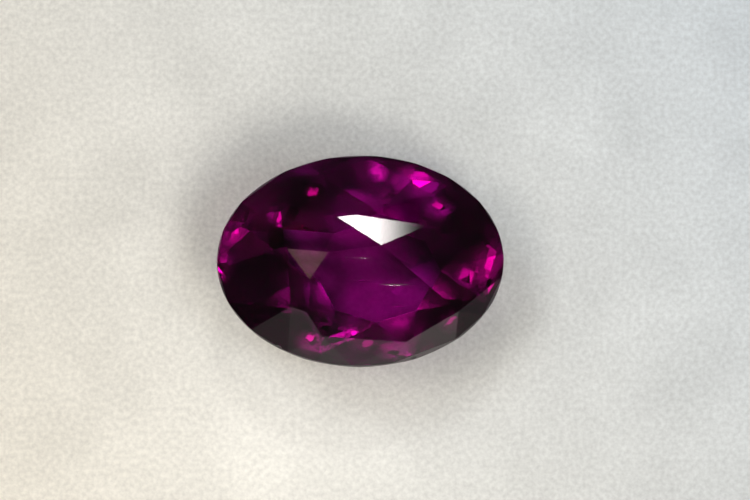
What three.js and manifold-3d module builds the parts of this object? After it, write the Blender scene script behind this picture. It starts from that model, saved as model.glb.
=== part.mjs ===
// Oval cut purple sapphire, lying on its table with the pavilion up.
// Millimetres, +X along the stone, +Z up, the origin on the table face under the oval's middle.
import * as THREE from "three";
import { mergeVertices } from "three/addons/utils/BufferGeometryUtils.js";
import Module from "manifold-3d";

// Driving sizes of the stone
const length = 8.92;
const width = 6.64;
const crownHeight = 2.3;
const girdleThickness = 0.28;
const pavilionTop = 1.05;

// Crown: how far out the table and the star facets reach, as shares of the outline
const tableShare = 0.4;
const starShare = 0.8;
const crownMains = 8;

// How far the table lies off the middle of the oval
const tableOffset = new THREE.Vector3(0.4, -0.1, 0);

const girdleTop = crownHeight + girdleThickness;
const halfLength = length / 2;
const halfWidth = width / 2;
const up = new THREE.Vector3(0, 0, 1);

// A point by its height above the girdle
const corner = (x, y, height) => new THREE.Vector3(x, y, girdleTop + height);

// Corners of the pavilion that the facets are ground to
const ridgeEast = corner(0.691, 0.3, 1.02);
const ridgeWest = corner(-0.957, 0.075, 1.039);
const bevelWest = corner(-0.667, 1.208, 0.895);
const bevelNorth = corner(-0.715, 1.373, 0.856);
const bevelEast = corner(2.109, 0.971, 0.721);
const shoulder = corner(-2.295, 0.271, 1.007);
const shoulderTop = corner(-2.294, 0.267, 1.028);
const stepEast = corner(3.087, -1.678, 0.45);
const stepFoot = corner(-1.138, -2.463, 0.388);

// Pavilion facets as they are set on the lap: the corner each is ground to,
// the way it faces in degrees from +X, and its slope from the table
const pavilionFacets = [
  { to: ridgeEast, facing: -79.43, slope: 13.44 },
  { to: ridgeEast, facing: 92.57, slope: 7.34 },
  { to: ridgeEast, facing: 72.12, slope: 15.58 },
  { to: ridgeEast, facing: -5.31, slope: 12.5 },
  { to: ridgeWest, facing: -100.72, slope: 10.45 },
  { to: shoulderTop, facing: -114.13, slope: 14.44 },
  { to: shoulder, facing: -144.52, slope: 22.88 },
  { to: shoulder, facing: 170.34, slope: 23.6 },
  { to: bevelWest, facing: 79.6, slope: 20.85 },
  { to: bevelNorth, facing: 73.33, slope: 17.64 },
  { to: bevelEast, facing: 20.18, slope: 19.59 },
  { to: stepEast, facing: -79.43, slope: 14.62 },
  { to: stepFoot, facing: -86.37, slope: 17.55 },
];

// Corners above the girdle row, seen from above, from the south-west round to the east
const ringPlaces = [
  [-2.12, -1.56],
  [-1.14, -2.46],
  [1.45, -2.62],
  [3.09, -1.68],
  [3.5, -0.12],
];

// Where the girdle row touches the girdle, in degrees round the oval:
// a tip lies between two ring corners, a foot straight out from one
const tips = [203, 240, 267, 312, 351, 376];
const feet = [221, 254, 283, 329, 364];

// Edge facets round the north and west: where they meet on the girdle, in degrees
const edgeSlope = 38;
const edgePlaces = [16, 34, 52, 68, 84, 104, 122, 146, 163, 182, 203];

// Small chips on the girdle edge: degrees round the oval, size and height
const chips = [
  { at: 236, size: 0.17, height: girdleTop - 0.02 },
  { at: 292, size: 0.14, height: girdleTop - 0.05 },
];

// The plane of a pavilion facet
function facetPlane({ to, facing, slope }) {
  const turn = THREE.MathUtils.degToRad(facing);
  const tilt = THREE.MathUtils.degToRad(slope);
  const normal = new THREE.Vector3(
    Math.sin(tilt) * Math.cos(turn),
    Math.sin(tilt) * Math.sin(turn),
    Math.cos(tilt),
  );
  return new THREE.Plane().setFromNormalAndCoplanarPoint(normal, to);
}

// The plane through three corners, facing away from the heart of the stone
function planeThrough(a, b, c) {
  const heart = new THREE.Vector3(0, 0, girdleTop);
  const plane = new THREE.Plane().setFromCoplanarPoints(a, b, c);
  return plane.distanceToPoint(heart) > 0 ? plane.negate() : plane;
}

// The point of the oval at a height, scaled in by a share
function onOval(degrees, height, share = 1) {
  const turn = THREE.MathUtils.degToRad(degrees);
  return new THREE.Vector3(
    share * halfLength * Math.cos(turn),
    share * halfWidth * Math.sin(turn),
    height,
  );
}

// The point of the pavilion straight above a place
function onPavilion(planes, [x, y]) {
  const heights = planes.map(
    ({ normal, constant }) => -(constant + normal.x * x + normal.y * y) / normal.z,
  );
  return new THREE.Vector3(x, y, Math.min(...heights));
}

// The girdle row: a pair of facets under each ring corner, one more between two corners
function girdleRow(planes) {
  const ring = ringPlaces.map((place) => onPavilion(planes, place));
  return ring.flatMap((here, i) => {
    const tip = onOval(tips[i], girdleTop);
    const foot = onOval(feet[i], girdleTop);
    const nextTip = onOval(tips[i + 1], girdleTop);
    const pair = [planeThrough(here, tip, foot), planeThrough(here, foot, nextTip)];
    const last = i === ring.length - 1;
    return last ? pair : [...pair, planeThrough(here, ring[i + 1], nextTip)];
  });
}

// The edge facets: each leans in from the straight line between two girdle places
function edgeRow() {
  return edgePlaces.slice(1).map((place, i) => {
    const start = onOval(edgePlaces[i], girdleTop);
    const end = onOval(place, girdleTop);
    const facing = THREE.MathUtils.radToDeg(Math.atan2(start.x - end.x, end.y - start.y));
    return facetPlane({ to: start, facing, slope: edgeSlope });
  });
}

// A point of the crown, which leans a little: its table lies off the middle
function onCrown(degrees, height, share = 1) {
  const lean = 1 - height / crownHeight;
  return onOval(degrees, height, share).addScaledVector(tableOffset, lean);
}

// The crown below the girdle: mains, a star between each two, and girdle facets.
// Two mains meet at a star's tip, which sets the tip's height.
function crownFacets() {
  const step = 360 / crownMains;
  const between = Math.cos(THREE.MathUtils.degToRad(step / 2));
  const starHeight =
    (crownHeight * (starShare * between - tableShare)) / (1 - tableShare);
  return Array.from({ length: crownMains }, (_, i) => i * step).flatMap((main) => {
    const edge = onCrown(main, 0, tableShare);
    const nextEdge = onCrown(main + step, 0, tableShare);
    const starBefore = onCrown(main - step / 2, starHeight, starShare);
    const starAfter = onCrown(main + step / 2, starHeight, starShare);
    const tip = onCrown(main, crownHeight);
    const foot = onCrown(main + step / 2, crownHeight);
    const nextTip = onCrown(main + step, crownHeight);
    return [
      planeThrough(edge, starBefore, starAfter),
      planeThrough(edge, nextEdge, starAfter),
      planeThrough(starAfter, tip, foot),
      planeThrough(starAfter, foot, nextTip),
    ];
  });
}

const wasm = await Module();
wasm.setup();

// A closed geometry as a solid that can be cut
function solidOf(geometry) {
  geometry.deleteAttribute("normal");
  geometry.deleteAttribute("uv");
  const merged = mergeVertices(geometry, 1e-5);
  return new wasm.Manifold(
    new wasm.Mesh({
      numProp: 3,
      vertProperties: merged.attributes.position.array,
      triVerts: new Uint32Array(merged.index.array),
    }),
  );
}

// The oval blank that every facet is ground from
function ovalBlank() {
  const outline = new THREE.Shape();
  outline.absellipse(0, 0, halfLength, halfWidth, 0, 2 * Math.PI);
  return solidOf(
    new THREE.ExtrudeGeometry(outline, {
      depth: girdleTop + pavilionTop + 0.2,
      bevelEnabled: false,
      curveSegments: 90,
    }),
  );
}

// Everything a flat lap takes away: a block with one face on the facet's plane
function groundAway(plane) {
  const side = 4 * length;
  const block = new THREE.BoxGeometry(side, side, side);
  block.translate(0, 0, side / 2);
  block.applyQuaternion(new THREE.Quaternion().setFromUnitVectors(up, plane.normal));
  const face = plane.projectPoint(new THREE.Vector3(), new THREE.Vector3());
  block.translate(face.x, face.y, face.z);
  return solidOf(block);
}

// A chip: a small shell-shaped bite out of the girdle edge
function chip({ at, size, height }) {
  const bite = new THREE.IcosahedronGeometry(size, 1);
  const place = onOval(at, height, 1 + (0.55 * size) / halfWidth);
  bite.translate(place.x, place.y, place.z);
  return solidOf(bite);
}

function cutSapphire() {
  const pavilion = pavilionFacets.map(facetPlane);
  const planes = [...pavilion, ...girdleRow(pavilion), ...edgeRow(), ...crownFacets()];
  const tools = [...planes.map(groundAway), ...chips.map(chip)];
  return tools.reduce((stone, tool) => stone.subtract(tool), ovalBlank());
}

function meshOf(solid, name, material) {
  const { vertProperties, triVerts } = solid.getMesh();
  const geometry = new THREE.BufferGeometry();
  geometry.setAttribute("position", new THREE.BufferAttribute(vertProperties, 3));
  geometry.setIndex(new THREE.BufferAttribute(triVerts, 1));
  const mesh = new THREE.Mesh(geometry, material);
  mesh.name = name;
  return mesh;
}

const purpleSapphire = new THREE.MeshStandardMaterial({
  color: 0x5f0052,
  roughness: 0.03,
  metalness: 0,
  transparent: true,
  opacity: 0.75,
});

const group = new THREE.Group();
group.add(meshOf(cutSapphire(), "sapphire", purpleSapphire));

export default group;
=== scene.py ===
# A cut purple sapphire lying on its table on pale paper, in soft light from the lower right.
import math

import bpy
import numpy as np
from mathutils import Matrix, Vector

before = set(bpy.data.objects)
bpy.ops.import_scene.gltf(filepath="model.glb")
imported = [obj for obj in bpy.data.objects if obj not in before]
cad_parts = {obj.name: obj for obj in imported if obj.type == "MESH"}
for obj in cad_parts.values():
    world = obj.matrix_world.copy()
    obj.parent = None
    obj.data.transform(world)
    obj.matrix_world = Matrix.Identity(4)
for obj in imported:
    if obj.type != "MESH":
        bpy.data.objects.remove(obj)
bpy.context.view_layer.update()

# The view: straight down on the stone, leaning about ten degrees towards the viewer, from far
# enough away that the stone keeps its shape. The stone lies a little left of the picture's middle.
mm = 0.001
girdle_height = 2.58 * mm
frame_width = 23.32 * mm
view_distance = 260 * mm
towards_viewer = Vector((0.04, -0.18, 1)).normalized()
picture_middle = Vector((0.46 * mm, 0.33 * mm, girdle_height))


def look_along(towards):
    """A turn that points local Z along a direction, with local X as near as can be to world X."""
    right = Vector((1, 0, 0))
    across = (right - right.dot(towards) * towards).normalized()
    return Matrix((across, towards.cross(across), towards)).transposed()


lens = bpy.data.cameras.new("view")
lens.sensor_width = 36
lens.lens = lens.sensor_width * view_distance / frame_width
lens.clip_start = 0.01
lens.clip_end = 5
camera = bpy.data.objects.new("view", lens)
camera.matrix_world = Matrix.Translation(
    picture_middle + view_distance * towards_viewer
) @ look_along(towards_viewer).to_4x4()
bpy.context.scene.collection.objects.link(camera)
bpy.context.scene.camera = camera


# The stone: natural corundum coloured purple by traces of metal, ground and polished by hand on a
# flat lap, its girdle left as it was ground. The side it lies on is worn dull but for small spots.
# It is one crystal, so it is the solid itself, and only its finish is given here.
def linear(hex_colour):
    """An sRGB hex colour as linear red, green, blue and alpha."""
    channels = np.array([int(hex_colour[i : i + 2], 16) for i in (0, 2, 4)]) / 255
    curved = ((channels + 0.055) / 1.055) ** 2.4
    straight = np.where(channels <= 0.04045, channels / 12.92, curved)
    return (*straight.tolist(), 1.0)


def add(tree, kind, inputs=None, **settings):
    """Adds a node with its settings, and its inputs as plain values or as sockets to link."""
    made = tree.nodes.new(kind)
    for name, value in settings.items():
        setattr(made, name, value)
    for name, value in (inputs or {}).items():
        if isinstance(value, bpy.types.NodeSocket):
            tree.links.new(value, made.inputs[name])
        else:
            made.inputs[name].default_value = value
    return made


def material(name):
    """An empty node material and its tree."""
    made = bpy.data.materials.new(name)
    made.use_nodes = True
    made.node_tree.nodes.clear()
    return made, made.node_tree


def blob(tree, place, centre, reach):
    """A soft oval patch seen from above, both pairs in mm: 1 at its centre and 0 at its reach."""
    middle = (*(mm * side for side in centre), 0)
    radii = (*(mm * side for side in reach), 1)
    moved = add(tree, "ShaderNodeVectorMath", {0: place, 1: middle}, operation="SUBTRACT")
    sized = add(tree, "ShaderNodeVectorMath", {0: moved.outputs[0], 1: radii}, operation="DIVIDE")
    fade = add(
        tree,
        "ShaderNodeTexGradient",
        {"Vector": sized.outputs[0]},
        gradient_type="QUADRATIC_SPHERE",
    )
    return fade.outputs["Fac"]


# Spots on the side it lies on that kept their polish: the middle of each and its reach, in mm
kept_polish = [
    ((3.79, -0.02, 1.62), 0.3),
    ((-1.82, 0.61, 0.46), 0.5),
    ((-3.73, 0.92, 1.85), 0.3),
    ((3.33, -0.2, 1.16), 0.16),
    ((3.97, 0.33, 1.81), 0.25),
    ((-2.11, 0.72, 0.66), 0.4),
    ((3.78, -0.7, 1.62), 0.25),
    ((-1.41, 0.47, 0.19), 0.4),
    ((3.1, -0.34, 0.93), 0.25),
    ((1.95, 2.42, 1.6), 0.55),
    ((-1.1, -1.76, 0.69), 0.55),
    ((-2.15, 1.46, 1.13), 0.25),
    ((1.96, -2.46, 1.56), 0.4),
    ((0.45, 2.68, 1.6), 0.2),
    ((0.31, 2.94, 1.88), 0.2),
    ((0.18, -2.15, 0.88), 0.25),
    ((2.34, 1.5, 1.02), 0.25),
    ((-0.22, -1.71, 0.4), 0.16),
    ((-1.41, -2.08, 1.11), 0.25),
    ((0.62, 1.47, 0.27), 0.2),
    ((1.17, -2.5, 1.31), 0.3),
    ((0.91, -0.2, 0.0), 0.4),
    ((0.83, 2.46, 1.35), 0.4),
    ((0.02, -0.77, 0.0), 0.4),
    ((-0.1, 2.95, 1.89), 0.35),
    ((2.53, -1.3, 0.86), 0.25),
    ((1.75, 0.06, 0.0), 0.4),
    ((0.17, 2.81, 1.74), 0.4),
    ((-1.57, 1.96, 1.18), 0.25),
    ((1.38, -2.77, 1.73), 0.3),
    ((2.9, 0.74, 0.82), 0.35),
    ((-4.25, -0.18, 2.16), 0.3),
    ((0.74, 1.77, 0.6), 0.25),
    ((3.88, 0.67, 1.75), 0.3),
    ((0.12, -0.42, 0.0), 0.3),
    ((0.05, 2.64, 1.56), 0.3),
    ((0.4, 3.08, 2.05), 0.25),
]

# Painted glow: where the surface tint is palest, so that the glow and flashes come through most,
# seen from above: the middle of each zone and its reaches, in mm
painted_glow_zones = [
    ((0.42, -1.0), (2.4, 2.15)),
    ((1.2, -0.95), (2.0, 1.1)),
    ((-0.3, 1.05), (2.0, 1.15)),
    ((-1.7, 0.9), (0.9, 0.7)),
    ((-4.0, 1.6), (2.2, 1.9)),
    ((4.1, 0.05), (0.8, 0.7)),
    ((-1.5, -0.1), (1.0, 0.7)),
    ((1.85, 2.45), (1.0, 0.7)),
    ((-2.55, 1.33), (0.5, 0.5)),
    ((2.45, 1.55), (0.5, 0.5)),
    ((-1.53, -2.65), (0.6, 0.5)),
    ((0.1, -2.6), (0.6, 0.4)),
    ((1.05, -2.87), (0.7, 0.4)),
    ((0.55, 2.8), (0.4, 0.5)),
    ((3.3, -0.6), (0.4, 0.5)),
    ((2.8, -2.0), (0.5, 0.4)),
    ((-1.5, 2.02), (0.3, 0.25)),
    ((-4.3, -0.2), (0.5, 0.6)),
    ((-0.2, 1.75), (0.8, 0.5)),
    ((4.0, -0.6), (0.5, 0.55)),
]

# Fine scratches on top, seen from above: the middle of each and its reaches, in mm. They are
# drawn wider than real ones so that they show.
scratches = [
    ((1.1, -0.9), (0.75, 0.04)),
    ((-0.03, -0.1), (0.6, 0.02)),
]
groove_depth = 0.02 * mm

# How dull each part of the surface is, where the wear ends, and where the ground girdle lies
worn_roughness = 0.2
ground_roughness = 0.49
polish_roughness = 0.01
wear_fades_from = 2.2 * mm
wear_ends = 2.3 * mm
girdle_middle = 2.44 * mm
girdle_reach = 0.13 * mm

# The tint of light that passes the surface over the painted dark rims and over the painted glow
# zones, the strength at which a zone is fully pale, and the purple of the body, which deepens with
# each mm of the way
painted_dark_rim_tint = "2e2a2e"
painted_glow_tint = "ffffff"
painted_glow_full_from = 0.45
body_purple = "f400ed"
corundum_ior = 1.77


def polished_corundum():
    """Polished sapphire: sharp see-through facets with a glassy shine, deep purple inside. The
    worn side gives an even glow with small flashes, the ground girdle a thin pale line. A glow is
    painted into the surface tint: pale over the heart and the flashes, dark over the rims."""
    made, tree = material("polished_sapphire")
    place = add(tree, "ShaderNodeTexCoord").outputs["Object"]
    level = add(tree, "ShaderNodeVectorMath", {0: place, 1: (1, 1, 0)}, operation="MULTIPLY")
    flat = level.outputs[0]
    height = add(tree, "ShaderNodeSeparateXYZ", {"Vector": place}).outputs["Z"]

    # The spots are made of small blocks, turned a little, which gives them straight edges
    turn = math.radians(25)
    block = Vector((0.3, 0.2, 0.3)) * mm
    turned = add(tree, "ShaderNodeVectorRotate", {"Vector": place, "Angle": turn})
    corner = add(
        tree, "ShaderNodeVectorMath", {0: turned.outputs["Vector"], 1: block}, operation="SNAP"
    ).outputs[0]
    kept = 0.0
    for spot, reach in kept_polish:
        middle = Matrix.Rotation(turn, 3, "Z") @ (mm * Vector(spot)) - block / 2
        gap = add(
            tree, "ShaderNodeVectorMath", {0: corner, 1: middle}, operation="DISTANCE"
        ).outputs["Value"]
        near = add(tree, "ShaderNodeMath", {0: gap, 1: reach * mm}, operation="LESS_THAN")
        most = add(tree, "ShaderNodeMath", {0: near.outputs[0], 1: kept}, operation="MAXIMUM")
        kept = most.outputs[0]

    # Roughness: the worn side, the ground girdle and the polish of the rest
    below = add(
        tree,
        "ShaderNodeMapRange",
        {
            "Value": height,
            "From Min": wear_fades_from,
            "From Max": wear_ends,
            "To Min": worn_roughness,
            "To Max": 0.0,
        },
    ).outputs["Result"]
    unkept = add(tree, "ShaderNodeMath", {0: 1.0, 1: kept}, operation="SUBTRACT").outputs[0]
    worn = add(tree, "ShaderNodeMath", {0: unkept, 1: below}, operation="MULTIPLY").outputs[0]
    girdle = add(
        tree,
        "ShaderNodeMath",
        {0: height, 1: girdle_middle, 2: girdle_reach},
        operation="COMPARE",
    ).outputs[0]
    ground = add(
        tree, "ShaderNodeMath", {0: girdle, 1: ground_roughness}, operation="MULTIPLY"
    ).outputs[0]
    dull = add(tree, "ShaderNodeMath", {0: worn, 1: ground}, operation="MAXIMUM").outputs[0]
    rough = add(
        tree, "ShaderNodeMath", {0: dull, 1: polish_roughness}, operation="MAXIMUM"
    ).outputs[0]

    lines = 0.0
    for centre, reach in scratches:
        line = blob(tree, flat, centre, reach)
        deepest = add(tree, "ShaderNodeMath", {0: line, 1: lines}, operation="MAXIMUM")
        lines = deepest.outputs[0]
    grooves = add(
        tree,
        "ShaderNodeBump",
        {"Height": lines, "Strength": 1.0, "Distance": groove_depth},
        invert=True,
    )

    # Painted glow: a pale tint where the glow and flashes should be bright, a dark one at the rims
    painted_glow_sum = 0.0
    for centre, reach in painted_glow_zones:
        painted_glow_patch = blob(tree, flat, centre, reach)
        painted_glow_sum = add(tree, "ShaderNodeMath", {0: painted_glow_patch, 1: painted_glow_sum}, operation="ADD").outputs[0]
    painted_glow_ramp = add(tree, "ShaderNodeValToRGB", {"Fac": painted_glow_sum})
    painted_glow_ramp.color_ramp.elements[0].color = linear(painted_dark_rim_tint)
    painted_glow_ramp.color_ramp.elements[1].color = linear(painted_glow_tint)
    painted_glow_ramp.color_ramp.elements[1].position = painted_glow_full_from

    surface = add(
        tree,
        "ShaderNodeBsdfPrincipled",
        {
            "Base Color": painted_glow_ramp.outputs["Color"],
            "Roughness": rough,
            "Normal": grooves.outputs["Normal"],
            "IOR": corundum_ior,
            "Transmission Weight": 1.0,
        },
    )
    inside = add(
        tree, "ShaderNodeVolumeAbsorption", {"Color": linear(body_purple), "Density": 1 / mm}
    )
    add(
        tree,
        "ShaderNodeOutputMaterial",
        {"Surface": surface.outputs["BSDF"], "Volume": inside.outputs["Volume"]},
    )
    return made


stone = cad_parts["sapphire"]
stone.data.materials.clear()
stone.data.materials.append(polished_corundum())


# The paper under the stone: an uncoated sheet of pressed plant fibres, matte and pale, lumpy where
# they cross. It lies flat just under the table that the stone rests on, and it is the stage.
paper_half = 60 * mm
paper_drop = 0.01 * mm
fibre_gap = 0.15 * mm
cloud_width = 3 * mm
lump_height = 0.03 * mm

# Its tone goes from warm at the lower left to cool at the upper right, by shares per metre
warm_tone = "e6e1d4"
cool_tone = "c9d2d9"
cooling = (26.0, 16.0, 0)


def pale_paper():
    """Uncoated paper: pale and matte, with a fine soft grain, warm near one corner and cool at
    the other, and a pool of light painted in front of the stone. Its fibres are coarser than
    real ones so that they show."""
    made, tree = material("uncoated_paper")
    place = add(tree, "ShaderNodeTexCoord").outputs["Object"]
    fibres = add(
        tree, "ShaderNodeTexNoise", {"Vector": place, "Scale": 1 / fibre_gap, "Detail": 4.0}
    )
    clouds = add(
        tree, "ShaderNodeTexNoise", {"Vector": place, "Scale": 1 / cloud_width, "Detail": 2.0}
    )
    along = add(
        tree, "ShaderNodeVectorMath", {0: place, 1: cooling}, operation="DOT_PRODUCT"
    ).outputs["Value"]
    drift = add(tree, "ShaderNodeMath", {0: along, 1: 0.5}, operation="ADD")
    tone = add(tree, "ShaderNodeValToRGB", {"Fac": drift.outputs[0]})
    tone.color_ramp.elements[0].color = linear(warm_tone)
    tone.color_ramp.elements[1].color = linear(cool_tone)
    shade = add(
        tree,
        "ShaderNodeMapRange",
        {
            "Value": fibres.outputs["Fac"],
            "From Min": 0.3,
            "From Max": 0.7,
            "To Min": 0.89,
            "To Max": 1.09,
        },
    )

    # Painted light: a wide pool of light painted into the clouds in front of the stone
    painted_light_pool = blob(tree, place, (-2.5, -6), (12, 9))
    clouds_and_light_pool = add(tree, "ShaderNodeMath", {0: clouds.outputs["Fac"], 1: painted_light_pool}, operation="ADD")
    clouds_and_light_pool_level = add(
        tree,
        "ShaderNodeMapRange",
        {
            "Value": clouds_and_light_pool.outputs[0],
            "From Min": 0.3,
            "From Max": 1.5,
            "To Min": 0.96,
            "To Max": 1.32,
        },
    )
    grain_and_painted_light = add(
        tree,
        "ShaderNodeMath",
        {0: shade.outputs[0], 1: clouds_and_light_pool_level.outputs[0]},
        operation="MULTIPLY",
    )
    colour = add(
        tree,
        "ShaderNodeVectorMath",
        {0: tone.outputs["Color"], 3: grain_and_painted_light.outputs[0]},
        operation="SCALE",
    )
    lumps = add(
        tree,
        "ShaderNodeBump",
        {"Height": fibres.outputs["Fac"], "Strength": 0.25, "Distance": lump_height},
    )
    surface = add(
        tree,
        "ShaderNodeBsdfPrincipled",
        {
            "Base Color": colour.outputs[0],
            "Roughness": 0.95,
            "Specular IOR Level": 0.2,
            "Normal": lumps.outputs["Normal"],
        },
    )
    add(tree, "ShaderNodeOutputMaterial", {"Surface": surface.outputs["BSDF"]})
    return made


def square_sheet(name, half=1.0, height=0.0):
    """A flat square mesh: a corner at plus and minus half along x and y, all at one height."""
    sheet = bpy.data.meshes.new(name)
    corners = [(half * x, half * y, height) for x, y in ((-1, -1), (1, -1), (1, 1), (-1, 1))]
    sheet.from_pydata(corners, [], [(0, 1, 2, 3)])
    return sheet


paper = bpy.data.objects.new("paper", square_sheet("paper", paper_half, -paper_drop))
paper.data.materials.append(pale_paper())
bpy.context.scene.collection.objects.link(paper)


# The light: a main lamp on the viewer's right, three dim ones that fill its shadow, and small ones
# that the polished spots throw back as flashes. Glowing cards are a small bright one that the long
# bevel catches, a warm one for the facet to its left, and two pale walls. The room is dark.
far = 300 * mm


def way(azimuth, elevation):
    """The direction of a lamp seen from the stone, both angles in degrees."""
    turn = math.radians(azimuth)
    rise = math.radians(elevation)
    out = math.cos(rise)
    return Vector((out * math.cos(turn), out * math.sin(turn), math.sin(rise)))


def stand_off(made, azimuth, elevation, distance, size=(1, 1)):
    """Sets a lamp or card facing the stone from a distance."""
    away = way(azimuth, elevation)
    made.matrix_world = (
        Matrix.Translation(Vector((0, 0, girdle_height)) + distance * away)
        @ look_along(away).to_4x4()
        @ Matrix.Diagonal((*size, 1, 1))
    )
    bpy.context.scene.collection.objects.link(made)


def lamp(name, azimuth, elevation, reach, luminance, colour):
    """A far round lamp that reaches so many degrees about its middle, as the stone sees it. Its
    power is pi times its area times its luminance."""
    radius = far * math.tan(math.radians(reach))
    light = bpy.data.lights.new(name, "AREA")
    light.shape = "DISK"
    light.size = 2 * radius
    light.color = linear(colour)[:3]
    light.energy = luminance * math.pi * math.pi * radius**2
    stand_off(bpy.data.objects.new(name, light), azimuth, elevation, far)


def card(name, azimuth, elevation, distance, size, colour, brightness, fade, curve="LINEAR"):
    """A glowing card with its half sides as size, brightest in its middle. Fade is the share of
    its reach that dims towards its edge, by a straight or a smooth curve."""
    made, tree = material(name)
    place = add(tree, "ShaderNodeTexCoord").outputs["Object"]
    middle = add(tree, "ShaderNodeTexGradient", {"Vector": place}, gradient_type="SPHERICAL")
    strength = add(
        tree,
        "ShaderNodeMapRange",
        {"Value": middle.outputs["Fac"], "From Max": fade, "To Max": brightness},
        interpolation_type=curve,
    )
    glow = add(
        tree,
        "ShaderNodeEmission",
        {"Color": linear(colour), "Strength": strength.outputs["Result"]},
    )
    add(tree, "ShaderNodeOutputMaterial", {"Surface": glow.outputs["Emission"]})
    piece = bpy.data.objects.new(name, square_sheet(name))
    piece.data.materials.append(made)
    stand_off(piece, azimuth, elevation, distance, size)


# Small lamps for the flashes: azimuth, elevation and reach in degrees, and luminance
glint_lamps = [
    (-148, 61.7, 4.4, 5.0),
    (-149.5, 62.6, 1.7, 10.0),
    (-123, 56.2, 1.7, 14.0),
    (-154, 75, 1.7, 10.0),
    (-160, 57, 1.7, 3.5),
    (77, 68, 1.7, 8.0),
    (79, 57, 1.7, 7.0),
    (-96, 25, 1.7, 1.2),
    (143.5, 37.7, 1.7, 4.5),
    (-36.5, 36, 1.7, 13.0),
    (104, 67, 1.7, 4.5),
    (100, 82, 1.7, 4.5),
    (170, 41.4, 1.7, 5.0),
    (103.8, 2.2, 1.7, 22.0),
    (-96.7, 29.1, 1.7, 8.0),
]
lamp("main_lamp", -56, 47, 10.5, 11.5, "fffaf0")
lamp("right_fill", -20, 57, 11, 5.0, "f4f8ff")
lamp("left_fill", 180, 61, 12, 5.0, "fff8ee")
lamp("back_fill", 135, 56, 13, 4.0, "f4f8ff")
for number, (azimuth, elevation, reach, luminance) in enumerate(glint_lamps):
    lamp(f"glint_lamp_{number}", azimuth, elevation, reach, luminance, "fff0e0")
card(
    "bevel_lamp",
    85.9,
    50,
    80 * mm,
    (7.7 * mm, 7.7 * mm),
    "fffdf8",
    brightness=18.0,
    fade=0.415,
    curve="SMOOTHERSTEP",
)
card("warm_card", -121, 78, far, (22 * mm, 22 * mm), "ffd9b8", brightness=0.72, fade=0.2)
card("pale_wall", -80, 36, far, (400 * mm, 170 * mm), "fff4ee", brightness=0.9, fade=1.0)
card("side_wall", -8, 30, 290 * mm, (85 * mm, 65 * mm), "fff4f6", brightness=0.5, fade=0.8)

room = bpy.data.worlds.new("room")
room.use_nodes = True
room.node_tree.nodes["Background"].inputs["Color"].default_value = linear("272727")
bpy.context.scene.world = room
bpy.context.scene.view_settings.view_transform = "Standard"
bpy.context.scene.cycles.max_bounces = 24
bpy.context.scene.cycles.transmission_bounces = 20
bpy.context.scene.cycles.glossy_bounces = 12
bpy.context.scene.cycles.use_denoising = True
